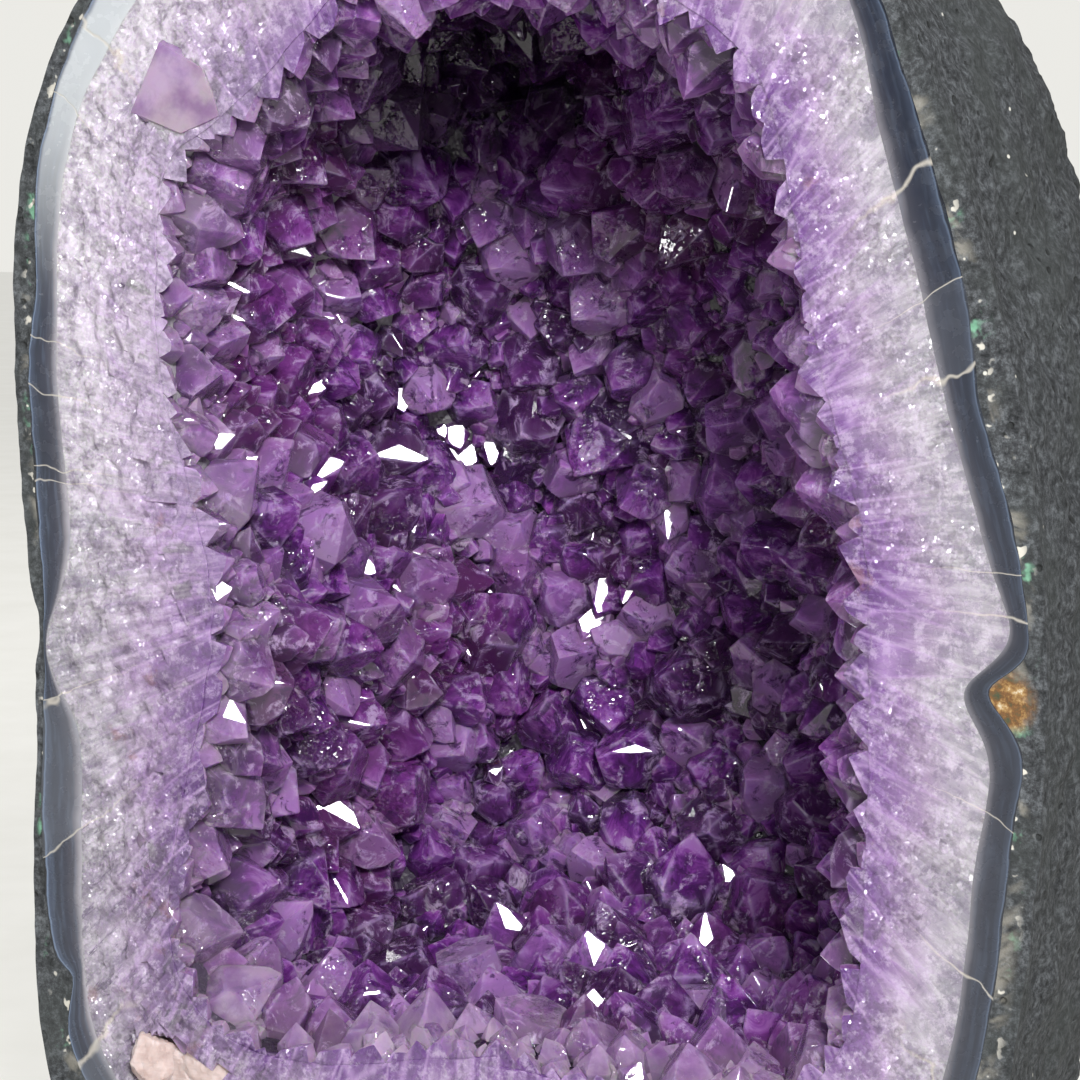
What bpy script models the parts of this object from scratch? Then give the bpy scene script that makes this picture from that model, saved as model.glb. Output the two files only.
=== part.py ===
"""Amethyst geode, sawn open and standing on a sawn base.

The sawn face looks towards -Y. From the outside in, the wall is a basalt rind, an agate
band and a quartz band, and the cavity is lined with amethyst crystals that stand in
sockets of the quartz. The origin is the bottom centre of the whole stone.
Metres, +Z up, +X to the right of the sawn face.
"""

import math
import random

import bmesh
import bpy
from mathutils import Matrix, Vector, noise
from mathutils.bvhtree import BVHTree

MM = 0.001

# Driving dimensions
DEPTH = 150 * MM
FACE_Y = -DEPTH / 2
CENTRE_X = 0.0
CENTRE_Z = 150 * MM
GAP = 0.3 * MM

# Sawn face: outline of the rock as (x, z), clockwise from the apex. It runs on below z = 0,
# where the base is sawn off.
FACE_OUTLINE_MM = (
    (-8, 304), (38, 296), (72, 273), (90, 240), (103, 200), (112, 158), (114, 110),
    (109, 60), (98, 14), (58, -9), (0, -12), (-60, -9), (-102, 12), (-110, 58),
    (-108, 112), (-112, 166), (-112, 214), (-102, 250), (-78, 280), (-46, 298),
)

# Wall thicknesses on the sawn face in millimetres, one for each hour of a clock face,
# from 12 o'clock on.
RIND_AT_HOURS = (4, 5, 5, 4, 4, 12, 18, 12, 3, 3, 3, 3)
AGATE_AT_HOURS = (9, 9, 9, 6, 7, 8, 8, 8, 9, 8, 8, 9)
QUARTZ_AT_HOURS = (26, 25, 26, 28, 32, 26, 30, 26, 35, 31, 27, 34)

# Thicknesses at the back of the stone
RIND_AT_BACK = 7 * MM
AGATE_AT_BACK = 8 * MM
QUARTZ_AT_BACK = 28 * MM

# The way the walls sweep round to the back
BOXINESS = 0.7
BULGE_AT_HOURS = (0.08, 0.1, 0.1, 0.1, 0.05, 0.0, 0.0, 0.0, 0.03, 0.07, 0.08, 0.08)
BACK_DROP = 25 * MM
RIND_LUMP = 4 * MM
RIND_LUMP_SPAN = 42 * MM
CAVITY_LUMP = 2.0 * MM
CAVITY_LUMP_SPAN = 38 * MM

# Facets of the shells
STEPS_ROUND = 48
STEPS_BACK = 8

# Small crystal points that roughen the quartz of the cavity
RELIEF_MAX = 5.0 * MM
RELIEF_STEEPNESS = (0.25, 0.5)
RELIEF_SEED = 7

# Amethyst crystals: six-sided prisms with a pointed end
CRYSTAL_COUNT = 52
CRYSTAL_RADIUS_MIN = 6.0 * MM
CRYSTAL_RADIUS_MAX = 9.5 * MM
CRYSTAL_ROOT = 4.5 * MM
SHOULDER_MIN = 0.15
SHOULDER_MAX = 0.55
POINT_SLOPE = 1.1
CRYSTAL_TILT = math.radians(14)
SOCKET_PLAY = 0.35 * MM
CRYSTAL_SEED = 20
# The chief crystals, placed by hand in millimetres: x, z and radius on the back wall,
# and y, z and radius on the left wall
CHIEFS_OF_BACK_WALL = (
    (-54, 223, 9.5), (-46, 196, 9.0), (-23, 209, 9.0), (-3, 208, 9.5), (-23, 237, 7.0),
    (-37, 167, 9.5), (-13, 178, 9.0), (-42, 148, 6.5), (-41, 131, 8.0), (-53, 91, 8.0),
    (3, 106, 10.5), (-25, 87, 9.5), (22, 138, 9.0), (-4, 59, 10.0), (-47, 62, 9.5),
    (-29, 188, 7.0), (-28, 112, 9.0), (0, 134, 8.0), (18, 221, 8.0), (35, 56, 7.0),
    (20, 83, 8.0), (12, 167, 8.0),
)
CHIEFS_OF_LEFT_WALL = (
    (-30, 214, 9.0), (-16, 124, 10.0), (-29, 98, 9.5), (-6, 197, 7.0), (-47, 75, 7.0),
    (-8, 156, 8.5), (-48, 148, 8.5), (-16, 54, 7.0), (4, 172, 7.0),
)

# Calcite blocks in a pocket of the quartz, low on the left of the sawn face
POCKET_X = -77 * MM
POCKET_Z = 33 * MM
POCKET_WIDTH = 22 * MM
POCKET_HEIGHT = 13 * MM
POCKET_DEPTH = 9 * MM
CALCITE_BLOCKS = 3
CALCITE_SKEW = 0.18


def clear_scene():
    for found in list(bpy.data.objects):
        bpy.data.objects.remove(found, do_unlink=True)


def spline(values, turn):
    """A smooth closed curve through the values, read at a turn from 0 to 1."""
    count = len(values)
    place = (turn % 1.0) * count
    first = int(place)
    t = place - first
    before = values[(first - 1) % count]
    here = values[first % count]
    after = values[(first + 1) % count]
    beyond = values[(first + 2) % count]
    return (
        here * (2 - 5 * t**2 + 3 * t**3)
        + after * (t + 4 * t**2 - 3 * t**3)
        + before * (-t + 2 * t**2 - t**3)
        + beyond * (-(t**2) + t**3)
    ) / 2


def outline_point(turn):
    """The rock's outline on the sawn face, as x and z from the centre."""
    points = [Vector(point) * MM for point in FACE_OUTLINE_MM]
    return spline(points, turn) - Vector((CENTRE_X, CENTRE_Z))


def clock_turn(arm):
    return math.atan2(arm.x, arm.y) / math.tau


def wall_insets(arm):
    """How far in from the rock's outline each layer starts, in the direction of the centre."""
    hour = clock_turn(arm)
    rind = spline(RIND_AT_HOURS, hour) * MM
    agate = rind + spline(AGATE_AT_HOURS, hour) * MM
    cavity = agate + spline(QUARTZ_AT_HOURS, hour) * MM
    return rind, agate, cavity


def swept(arm, inset, back_inset, sweep):
    """A point of a layer: sweep is 0 on the sawn face and a quarter turn at the back pole."""
    reach = math.cos(sweep) ** BOXINESS if sweep < math.pi / 2 - 1e-6 else 0.0
    back = math.sin(sweep) ** BOXINESS if sweep > 0 else 0.0
    reach *= 1 + spline(BULGE_AT_HOURS, clock_turn(arm)) * math.sin(2 * sweep)
    inner = arm * (1 - inset / arm.length)
    return Vector((
        CENTRE_X + inner.x * reach,
        FACE_Y + (DEPTH - back_inset) * back,
        CENTRE_Z - BACK_DROP * math.sin(sweep) ** 2 + inner.y * reach,
    ))


def lumped(point, sweep, height, span, outwards_only=False):
    """Moves a point in or out by a slow noise that fades away at the sawn face."""
    out = Vector((point.x - CENTRE_X, 0.6 * (point.y - FACE_Y), point.z - CENTRE_Z))
    swell = noise.noise(point / span)
    if outwards_only:
        swell = 0.5 + 0.5 * swell
    return point + out.normalized() * swell * height * math.sin(sweep)


def rock_surface(turn, sweep):
    point = swept(outline_point(turn), 0.0, RIND_LUMP, sweep)
    return lumped(point, sweep, RIND_LUMP, RIND_LUMP_SPAN, outwards_only=True)


def layer_surface(layer, back_inset, play):
    """The surface where a layer starts: 0 rind to agate, 1 agate to quartz, 2 quartz to cavity."""

    def surface(turn, sweep):
        arm = outline_point(turn)
        return swept(arm, wall_insets(arm)[layer] + play, back_inset + play, sweep)

    return surface


def cavity_surface(turn, sweep):
    back_inset = RIND_AT_BACK + AGATE_AT_BACK + QUARTZ_AT_BACK
    point = layer_surface(2, back_inset, 0.0)(turn, sweep)
    return lumped(point, sweep, CAVITY_LUMP, CAVITY_LUMP_SPAN)


def bowl(mesh, surface, join):
    """The rings of one surface from the sawn face to its pole, with the first returned."""
    rings = []
    for step in range(STEPS_BACK):
        sweep = math.pi / 2 * step / STEPS_BACK
        rings.append([mesh.verts.new(surface(k / STEPS_ROUND, sweep)) for k in range(STEPS_ROUND)])
    pole = mesh.verts.new(surface(0.0, math.pi / 2))
    for near, far in zip(rings, rings[1:]):
        join(mesh, near, far)
    for k in range(STEPS_ROUND):
        mesh.faces.new((rings[-1][k], rings[-1][k - 1], pole))
    return rings[0]


def join_smooth(mesh, near, far):
    for k in range(len(near)):
        mesh.faces.new((near[k], near[k - 1], far[k - 1]))
        mesh.faces.new((near[k], far[k - 1], far[k]))


def join_with_points():
    """Joins rings with a four-sided point on each patch, standing into the cavity."""
    dice = random.Random(RELIEF_SEED)

    def join(mesh, near, far):
        for k in range(len(near)):
            patch = (near[k], near[k - 1], far[k - 1], far[k])
            middle = sum((vert.co for vert in patch), Vector()) / 4
            inwards = (far[k].co - near[k - 1].co).cross(far[k - 1].co - near[k].co).normalized()
            if inwards.dot(Vector((CENTRE_X, middle.y - 20 * MM, CENTRE_Z)) - middle) < 0:
                inwards = -inwards
            width = (near[k].co - near[k - 1].co).length
            height = min(RELIEF_MAX, width * dice.uniform(*RELIEF_STEEPNESS))
            apex = mesh.verts.new(middle + inwards * height)
            for start, end in zip(patch, patch[1:] + patch[:1]):
                mesh.faces.new((start, end, apex))

    return join


def shell(outer, inner, join_inner=join_smooth):
    """A closed bowl between two surfaces, with a flat sawn rim."""
    mesh = bmesh.new()
    outer_rim = bowl(mesh, outer, join_smooth)
    inner_rim = bowl(mesh, inner, join_inner)
    join_smooth(mesh, outer_rim, inner_rim)
    bmesh.ops.recalc_face_normals(mesh, faces=mesh.faces)
    return mesh


def saw_base(mesh):
    """Cuts the stone off flat at z = 0."""
    cut = bmesh.ops.bisect_plane(
        mesh,
        geom=mesh.verts[:] + mesh.edges[:] + mesh.faces[:],
        plane_co=(0, 0, 0),
        plane_no=(0, 0, 1),
        clear_inner=True,
    )
    rim = [item for item in cut["geom_cut"] if isinstance(item, bmesh.types.BMEdge)]
    bmesh.ops.contextual_create(mesh, geom=rim)
    bmesh.ops.triangulate(mesh, faces=mesh.faces)
    bmesh.ops.recalc_face_normals(mesh, faces=mesh.faces)


def material(name, colour, roughness):
    made = bpy.data.materials.new(name)
    made.use_nodes = True
    made.diffuse_color = (*colour, 1.0)
    surface = made.node_tree.nodes["Principled BSDF"]
    surface.inputs["Base Color"].default_value = (*colour, 1.0)
    surface.inputs["Roughness"].default_value = roughness
    surface.inputs["Metallic"].default_value = 0.0
    return made


def basalt_material():
    return material("basalt", (0.085, 0.092, 0.090), 0.9)


def agate_material():
    return material("agate", (0.16, 0.19, 0.25), 0.25)


def quartz_material():
    return material("quartz", (0.62, 0.52, 0.72), 0.45)


def amethyst_material():
    return material("amethyst", (0.14, 0.04, 0.25), 0.12)


def calcite_material():
    return material("calcite", (0.58, 0.46, 0.40), 0.55)


def place(name, mesh, finish):
    """Makes a named object from a bmesh."""
    data = bpy.data.meshes.new(name)
    mesh.to_mesh(data)
    mesh.free()
    data.materials.append(finish)
    made = bpy.data.objects.new(name, data)
    bpy.context.scene.collection.objects.link(made)
    return made


def facing(axis, roll):
    """A turn that takes +Z to the axis, after a roll about it."""
    return axis.to_track_quat("Z", "Y").to_matrix().to_4x4() @ Matrix.Rotation(roll, 4, "Z")


def crystal_mesh(radius, low, shoulder, tip):
    """A six-sided prism from low to its shoulder along +Z, with a six-sided point."""
    mesh = bmesh.new()
    rings = []
    for height in (low, shoulder):
        corners = [math.tau * k / 6 for k in range(6)]
        rings.append([
            mesh.verts.new((radius * math.cos(a), radius * math.sin(a), height)) for a in corners
        ])
    apex = mesh.verts.new((0, 0, tip))
    mesh.faces.new(rings[0])
    for k in range(6):
        mesh.faces.new((rings[0][k - 1], rings[0][k], rings[1][k], rings[1][k - 1]))
        mesh.faces.new((rings[1][k - 1], rings[1][k], apex))
    bmesh.ops.recalc_face_normals(mesh, faces=mesh.faces)
    return mesh


class Crystal:
    """One crystal: where it stands on the cavity's wall, which way it points and how big it is."""

    def __init__(self, foot, normal, radius, dice):
        lean = Vector((dice.uniform(-1, 1), dice.uniform(-1, 1), dice.uniform(-1, 1)))
        self.foot = foot
        self.axis = (normal + lean * math.tan(CRYSTAL_TILT)).normalized()
        self.radius = radius
        self.roll = dice.uniform(0, math.tau)
        self.shoulder = radius * dice.uniform(SHOULDER_MIN, SHOULDER_MAX)
        self.tip = self.shoulder + radius * POINT_SLOPE

    def beads(self):
        """Spheres that hold the socket and the point, to keep neighbours apart."""
        spread = self.radius + SOCKET_PLAY + GAP
        root = self.foot - self.axis * CRYSTAL_ROOT / 2
        rim = self.foot + self.axis * self.socket_top()
        near_tip = self.foot + self.axis * (self.socket_top() + self.tip) / 2
        return ((root, spread), (self.foot, spread), (rim, spread), (near_tip, 0.7 * spread))

    def socket_top(self):
        """The socket is straight to just above the small points round the crystal."""
        return max(self.shoulder, RELIEF_MAX + 1 * MM)

    def clears(self, other):
        return all(
            (mine - theirs).length > a + b
            for mine, a in self.beads()
            for theirs, b in other.beads()
        )

    def turn(self):
        return Matrix.Translation(self.foot) @ facing(self.axis, self.roll)

    def body(self):
        mesh = crystal_mesh(self.radius, -CRYSTAL_ROOT, self.shoulder, self.tip)
        mesh.transform(self.turn())
        return mesh

    def socket(self):
        """What is cut from the quartz round the crystal."""
        wide = self.radius + SOCKET_PLAY
        top = self.socket_top()
        mesh = crystal_mesh(wide, -CRYSTAL_ROOT - GAP, top, top + wide * POINT_SLOPE)
        mesh.transform(self.turn())
        return mesh

    def zone(self):
        """The part of the cavity that the crystal stands in."""
        if self.axis.y < -0.55:
            return "back_wall"
        if abs(self.axis.z) > abs(self.axis.x):
            return "floor" if self.axis.z > 0 else "roof"
        return "left_wall" if self.axis.x > 0 else "right_wall"


def cavity_tree():
    mesh = bmesh.new()
    bowl(mesh, cavity_surface, join_smooth)
    bmesh.ops.recalc_face_normals(mesh, faces=mesh.faces)
    tree = BVHTree.FromBMesh(mesh)
    mesh.free()
    return tree


def wall_normal(tree, point):
    """The wall's direction into the cavity, averaged over a crystal's foot."""
    total = Vector()
    for _, normal, _, _ in tree.find_nearest_range(point, CRYSTAL_RADIUS_MAX):
        total += normal
    middle = Vector((CENTRE_X, FACE_Y + 0.2 * DEPTH, point.z))
    if total.dot(middle - point) < 0:
        total = -total
    return total.normalized()


def stands_well(crystal, grown):
    """Whether a crystal stays behind the sawn face and clear of the others."""
    front = FACE_Y + crystal.radius + 4 * MM
    tip_y = (crystal.foot + crystal.axis * crystal.tip).y
    if crystal.foot.y < front or tip_y < front:
        return False
    return all(crystal.clears(other) for other in grown)


def chief_crystals(tree, dice):
    """The hand-placed crystals, each where a line from the front or the middle meets the wall."""
    lines = []
    for x, z, radius in CHIEFS_OF_BACK_WALL:
        lines.append((Vector((x * MM, FACE_Y, z * MM)), Vector((0, 1, 0)), radius * MM))
    for y, z, radius in CHIEFS_OF_LEFT_WALL:
        lines.append((Vector((CENTRE_X, y * MM, z * MM)), Vector((-1, 0, 0)), radius * MM))
    grown = []
    for start, direction, radius in lines:
        foot = tree.ray_cast(start, direction)[0]
        crystal = Crystal(foot, wall_normal(tree, foot), radius, dice)
        if stands_well(crystal, grown):
            grown.append(crystal)
    return grown


def grow_crystals():
    """The chief crystals, then seeded ones wherever they fit on the cavity's wall."""
    dice = random.Random(CRYSTAL_SEED)
    tree = cavity_tree()
    grown = chief_crystals(tree, dice)
    for _ in range(20000):
        if len(grown) == CRYSTAL_COUNT:
            break
        sweep = math.asin(dice.uniform(0.06, 1.0))
        foot = tree.find_nearest(cavity_surface(dice.random(), sweep))[0]
        radius = dice.uniform(CRYSTAL_RADIUS_MIN, CRYSTAL_RADIUS_MAX)
        crystal = Crystal(foot, wall_normal(tree, foot), radius, dice)
        if stands_well(crystal, grown):
            grown.append(crystal)
    return grown


def cut(target, cutter_meshes, name):
    """Takes the given shapes, which stay clear of each other, away from an object."""
    joined = bmesh.new()
    for mesh in cutter_meshes:
        held = bpy.data.meshes.new(name)
        mesh.to_mesh(held)
        mesh.free()
        joined.from_mesh(held)
        bpy.data.meshes.remove(held)
    cutter = place(name, joined, target.data.materials[0])
    cutter.hide_render = True
    cutter.display_type = "WIRE"
    step = target.modifiers.new(name, "BOOLEAN")
    step.operation = "DIFFERENCE"
    step.solver = "EXACT"
    step.object = cutter


def block_mesh(low, high, skew):
    """A box whose top leans sideways, like a cleaved rhomb."""
    mesh = bmesh.new()
    bmesh.ops.create_cube(mesh, size=1.0)
    size = high - low
    for vert in mesh.verts:
        vert.co = low + Vector((vert.co[k] + 0.5) * size[k] for k in range(3))
        vert.co.x += skew * (vert.co.z - low.z)
    return mesh


def pocket_mesh():
    low = Vector((POCKET_X - POCKET_WIDTH / 2, FACE_Y - 10 * MM, POCKET_Z - POCKET_HEIGHT / 2))
    high = Vector((POCKET_X + POCKET_WIDTH / 2, FACE_Y + POCKET_DEPTH, POCKET_Z + POCKET_HEIGHT / 2))
    return block_mesh(low, high, CALCITE_SKEW)


def calcite_block(index):
    """One of the blocks that fill the pocket side by side, each a little lower than the last."""
    pitch = POCKET_WIDTH / CALCITE_BLOCKS
    left = POCKET_X - POCKET_WIDTH / 2 + index * pitch
    bottom = POCKET_Z - POCKET_HEIGHT / 2 + GAP
    height = POCKET_HEIGHT - 2 * GAP - (0.0, 3.0, 1.5)[index] * MM
    front = FACE_Y + (0.4, 2.0, 1.0)[index] * MM
    low = Vector((left + GAP, front, bottom))
    high = Vector((left + pitch - GAP / 2, FACE_Y + POCKET_DEPTH - GAP, bottom + height))
    return block_mesh(low, high, CALCITE_SKEW)


def make_rind():
    mesh = shell(rock_surface, layer_surface(0, RIND_AT_BACK, 0.0))
    saw_base(mesh)
    return place("basalt_rind", mesh, basalt_material())


def make_agate():
    to_quartz = RIND_AT_BACK + AGATE_AT_BACK
    mesh = shell(layer_surface(0, RIND_AT_BACK, GAP), layer_surface(1, to_quartz, 0.0))
    place("agate_band", mesh, agate_material())


def make_quartz():
    to_quartz = RIND_AT_BACK + AGATE_AT_BACK
    mesh = shell(layer_surface(1, to_quartz, GAP), cavity_surface, join_with_points())
    return place("quartz_band", mesh, quartz_material())


def make_crystals(quartz):
    grown = grow_crystals()
    finish = amethyst_material()
    seen = {}
    for crystal in grown:
        zone = crystal.zone()
        seen[zone] = seen.get(zone, 0) + 1
        place(f"amethyst_{zone}_{seen[zone]:02d}", crystal.body(), finish)
    cut(quartz, [crystal.socket() for crystal in grown], "crystal_sockets")


def make_calcite(quartz):
    finish = calcite_material()
    for index in range(CALCITE_BLOCKS):
        place(f"calcite_block_{index + 1}", calcite_block(index), finish)
    cut(quartz, [pocket_mesh()], "calcite_pocket")


def centre_on_origin(rock):
    """Moves every piece so that the rock's box is centred on X and Y and stands on z = 0."""
    corners = [vert.co for vert in rock.data.vertices]
    low = Vector(min(corner[k] for corner in corners) for k in range(3))
    high = Vector(max(corner[k] for corner in corners) for k in range(3))
    shift = Vector((-(low.x + high.x) / 2, -(low.y + high.y) / 2, -low.z))
    for made in bpy.data.objects:
        made.data.transform(Matrix.Translation(shift))


def main():
    clear_scene()
    rock = make_rind()
    make_agate()
    quartz = make_quartz()
    make_crystals(quartz)
    make_calcite(quartz)
    centre_on_origin(rock)


main()
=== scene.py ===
"""Amethyst geode: the looks of each layer and crystal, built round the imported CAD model."""
import itertools
import math
import random

import bmesh
import bpy
import numpy as np
from mathutils import Matrix, Vector, noise
from mathutils.bvhtree import BVHTree


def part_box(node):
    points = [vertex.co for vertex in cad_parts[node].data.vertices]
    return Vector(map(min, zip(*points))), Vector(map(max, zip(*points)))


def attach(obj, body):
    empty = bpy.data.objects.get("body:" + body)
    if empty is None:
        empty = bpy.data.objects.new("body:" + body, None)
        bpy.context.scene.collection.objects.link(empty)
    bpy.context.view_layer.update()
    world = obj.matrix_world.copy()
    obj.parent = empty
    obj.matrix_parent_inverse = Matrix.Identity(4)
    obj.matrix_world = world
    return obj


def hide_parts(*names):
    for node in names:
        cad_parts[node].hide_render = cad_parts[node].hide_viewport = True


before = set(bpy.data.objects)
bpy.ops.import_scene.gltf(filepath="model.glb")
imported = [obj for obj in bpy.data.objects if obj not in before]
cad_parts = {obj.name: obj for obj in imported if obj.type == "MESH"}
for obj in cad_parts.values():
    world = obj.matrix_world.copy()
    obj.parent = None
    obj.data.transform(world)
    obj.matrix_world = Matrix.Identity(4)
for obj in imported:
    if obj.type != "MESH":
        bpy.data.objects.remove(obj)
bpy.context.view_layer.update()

MM = 0.001

# Places, from the frame
ROCK_LOW, ROCK_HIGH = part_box("basalt_rind")
FACE_Y = ROCK_LOW.y
CENTRE = Vector(((ROCK_LOW.x + ROCK_HIGH.x) / 2, 0.0, 150 * MM))
HEART = Vector((CENTRE.x, FACE_Y + 58 * MM, 140 * MM))
FAR = 0.5
SAWN_Y = FACE_Y + 0.32 * MM
CUTS_APART = 0.3 * MM

# How finely the layers are built
STEPS_ROUND = 640
ROCK_RINGS = 130
HIDDEN_RINGS = 14
CAVITY_RINGS = 90
ROCK_RIM_ROWS = 8
AGATE_RIM_ROWS = 10
QUARTZ_RIM_ROWS = 50

# Features of the sawn face: height above the base, how far they reach and their spread
NODULE_Z = 123 * MM
NODULE_REACH = 8.0 * MM
NODULE_SPREAD = 4.5 * MM
PINCH_Z = 124 * MM
PINCH_SPREAD = 9.0 * MM
NOTCH_Z = 47 * MM
NOTCH_REACH = 5.0 * MM
NOTCH_SPREAD = 3.5 * MM

# The least that is left of the rock and the agate on the sawn face
LEAST_ROCK = 1.0 * MM
LEAST_AGATE = 0.6 * MM

# Where the edges of the layers wander, in millimetres: height, side, reach and spread
AGATE_WANDERS = (
    (258, 1, 2.5, 11), (178, 1, -2.6, 13), (136, 1, 1.2, 7), (90, 1, -1.8, 14),
    (85, -1, 1.6, 20), (205, -1, -2.4, 12),
)
QUARTZ_WANDERS = (
    (258, 1, 6.0, 13), (178, 1, -2.2, 13), (137, 1, 3.2, 7), (90, 1, -2.6, 14),
    (80, -1, -1.8, 22),
)
CAVITY_WANDERS = ((110, 1, 4.2, 60), (242, 1, 4.5, 14), (221, -1, 5.0, 8), (260, -1, 4.0, 8))

# The rim's own coordinates, for its materials: round the stone, and in from the agate's inside
ROUND = 0.11
ROCK_OUTSIDE, ROCK_INSIDE, AGATE_OUTSIDE = -10 * MM, -8 * MM, -9 * MM
CAVITY_ACROSS = 30 * MM
CRACK_WIDTH = 0.2 * MM
WALL_ACROSS = 54 * MM

# The camera, in degrees and metres, what it and the lamps look at, and the key lamp's place
CAMERA_AZIMUTH = 24
CAMERA_ELEVATION = 6
CAMERA_DISTANCE = 700 * MM
VIEW_WIDTH = 216 * MM
AIM = Vector((CENTRE.x + 9 * MM, FACE_Y, 150 * MM))
KEY_PLACE = (36, 32)

# A hollow of the cavity's roof: its middle, how far it goes and its spread. Its crystals are also
# painted darker, as painted shade
HOLLOW = Vector((CENTRE.x - 30 * MM, FACE_Y + 58 * MM, 243 * MM))
HOLLOW_DEPTH = 16 * MM
HOLLOW_SPREAD = 24 * MM

# One large pale crystal of the edge: where its prism ends, which way it points and its size
PALE_TOOTH_FOOT = Vector((CENTRE.x - 70 * MM, FACE_Y + 2 * MM, 237.5 * MM))
PALE_TOOTH_AXIS = Vector((0.86, 0.12, -0.42))
PALE_TOOTH_RADIUS = 8.6 * MM

# Crystals of the druse, in millimetres: radius range, packing and tries
LARGE = (6.6, 11.2, 0.52, 9000)
MEDIUM = (3.3, 6.0, 0.48, 8000)
SMALL = (1.4, 3.0, 0.54, 7000)
DRUSE_SEED = 11
DRUSE_LEAN = 0.30
# The share of crystals that mirror the key lamp, and how far they may lean for it
GLINT_SHARE = 0.11
GLINT_LEAN = math.radians(38)

# A crystal of radius 1: the width of its worn edges, and the tilt of its end faces in degrees
CRYSTAL_BEVEL = 0.035
QUARTZ_SLOPE = 51.8

# The studio. Lamps: name, azimuth, elevation, distance, size and power. The small ones glint
STUDIO_WHITE = "F1F0EB"
LAMPS = (
    ("key", *KEY_PLACE, 1.3, 0.34, 25),
    ("fill", -45, 40, 1.8, 1.0, 2.5),
    ("front", 8, 16, 2.2, 0.7, 0.4),
    ("top", 10, 80, 1.6, 0.8, 2),
    ("behind", 200, 45, 1.8, 1.2, 14),
    ("glint_left", -22, 24, 1.3, 0.12, 1.1),
    ("glint_high", 8, 40, 1.3, 0.12, 1.1),
    ("glint_right", 64, 16, 1.3, 0.12, 1.1),
    ("glint_far_left", -42, 8, 1.3, 0.12, 1.1),
    ("glint_low", 12, 2, 1.3, 0.12, 1.1),
)


# ---------------------------------------------------------------- shapes of the layers

def tree_of(node):
    """A layer's surface, for rays."""
    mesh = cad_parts[node].data
    corners = [vert.co.copy() for vert in mesh.vertices]
    faces = [tuple(face.vertices) for face in mesh.polygons]
    return BVHTree.FromPolygons(corners, faces)


TREES = {name: tree_of(name) for name in ("basalt_rind", "agate_band", "quartz_band")}


def surface_hit(node, origin, out, inside):
    """Where a ray meets a layer: its inner side from within, or its outer side from afar."""
    if inside:
        return TREES[node].ray_cast(origin, out)[0]
    return TREES[node].ray_cast(origin + out * FAR, -out)[0]


def smooth_round(values, width):
    """Averages a closed row of numbers over its neighbours."""
    reach = np.arange(-3 * width, 3 * width + 1)
    weights = np.exp(-0.5 * (reach / width) ** 2)
    weights /= weights.sum()
    total = np.zeros_like(values)
    for step, weight in zip(reach, weights):
        total += weight * np.roll(values, step)
    return total


ANGLES = np.arange(STEPS_ROUND) * math.tau / STEPS_ROUND
SIN, COS = np.sin(ANGLES), np.cos(ANGLES)


def edge_radius(node, inside):
    """A layer's edge on the sawn face: its distance from the centre at each angle."""
    middle = Vector((CENTRE.x, FACE_Y + 0.2 * MM, CENTRE.z))
    found = []
    for angle in ANGLES:
        out = Vector((math.sin(angle), 0, math.cos(angle)))
        found.append((surface_hit(node, middle, out, inside) - middle).length)
    return np.array(found)


def ring_noise(scale, seed):
    """Smooth noise round the stone, as one number for each angle."""
    reach = 110 * MM / scale
    return np.array([
        noise.noise(Vector((reach * s, reach * c, seed))) for s, c in zip(SIN, COS)
    ])


def hump(radius, at_z, side, reach, spread):
    """A bell-shaped bump of an edge, on one side of the face at a height."""
    x = radius * SIN
    z = CENTRE.z + radius * COS
    bell = np.exp(-0.5 * ((z - at_z) / spread) ** 2)
    return reach * bell * (x * side > 0)


def wandered(radius, places):
    """An edge after each of its wanders, one after the other."""
    for at_z, side, reach, spread in places:
        radius = radius + hump(radius, at_z * MM, side, reach * MM, spread * MM)
    return radius


def face_edges():
    """The four edges of the sawn rim, from the outside in, as radius by angle."""
    rock_exact = edge_radius("basalt_rind", inside=False)
    on_base = CENTRE.z + rock_exact * COS < 1.0 * MM
    rock = smooth_round(rock_exact, 7)
    rock += 0.5 * MM * ring_noise(9 * MM, 3.1) + 0.35 * MM * ring_noise(3 * MM, 8.2)
    rock -= hump(rock, PINCH_Z + 3 * MM, -1, 1.6 * MM, 4 * MM)
    with np.errstate(divide="ignore"):
        to_base = np.where(COS < 0, CENTRE.z / np.maximum(-COS, 1e-9), 1.0)
    rock = np.where(on_base, rock_exact, np.minimum(rock, to_base))
    agate = smooth_round(edge_radius("agate_band", inside=False), 7)
    agate += 0.55 * MM * ring_noise(13 * MM, 1.7) + 0.3 * MM * ring_noise(4 * MM, 5.5)
    agate -= hump(agate, NODULE_Z, 1, NODULE_REACH, NODULE_SPREAD)
    agate -= hump(agate, NOTCH_Z, -1, NOTCH_REACH, NOTCH_SPREAD)
    agate = np.minimum(wandered(agate, AGATE_WANDERS), rock - LEAST_ROCK)
    quartz = smooth_round(edge_radius("agate_band", inside=True), 7)
    quartz += 0.9 * MM * ring_noise(26 * MM, 9.4) + 0.35 * MM * ring_noise(7 * MM, 2.2)
    quartz -= hump(quartz, NODULE_Z, 1, 0.9 * NODULE_REACH, 1.25 * NODULE_SPREAD)
    quartz = wandered(quartz, QUARTZ_WANDERS)
    pinch = hump(quartz, PINCH_Z, -1, 1.0, PINCH_SPREAD)
    quartz = quartz * (1 - pinch) + (agate - LEAST_AGATE) * pinch
    quartz = np.minimum(quartz, agate - LEAST_AGATE)
    cavity = smooth_round(edge_radius("quartz_band", inside=True), 5)
    cavity += 0.8 * MM * ring_noise(8 * MM, 4.4)
    return rock, agate, quartz, wandered(cavity, CAVITY_WANDERS)


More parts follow.
